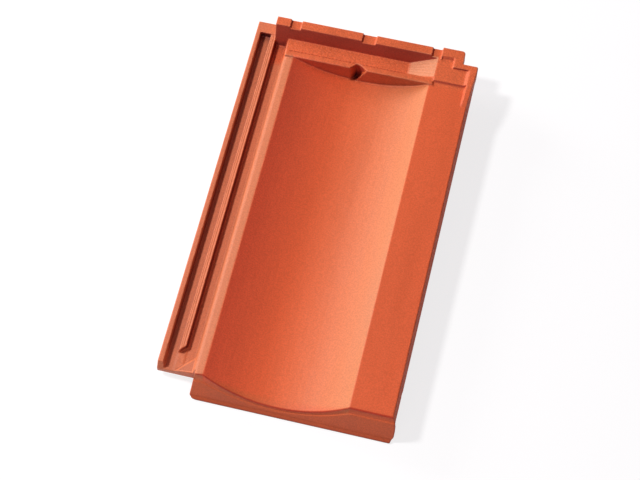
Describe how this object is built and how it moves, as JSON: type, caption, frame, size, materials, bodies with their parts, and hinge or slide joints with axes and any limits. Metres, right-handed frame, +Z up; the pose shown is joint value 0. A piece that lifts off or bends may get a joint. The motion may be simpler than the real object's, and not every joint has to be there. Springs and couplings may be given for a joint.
{
  "type": "interlocking clay roof tile",
  "caption": "Pressed terracotta roof tile with one broad trough, side and head interlock channels, a straight foot skirt and hanging nibs underneath.",
  "frame": {"origin": "middle of the tile's plan box, on the floor it lies on", "axes": "+X across the tile away from the side channel, +Y along the tile from foot to head, +Z up"},
  "size_m": [0.2754, 0.4796, 0.0558],
  "materials": {
    "terracotta": "matte fired red clay, unglazed"
  },
  "bodies": {
    "root": {"tile": "terracotta"}
  },
  "joints": []
}
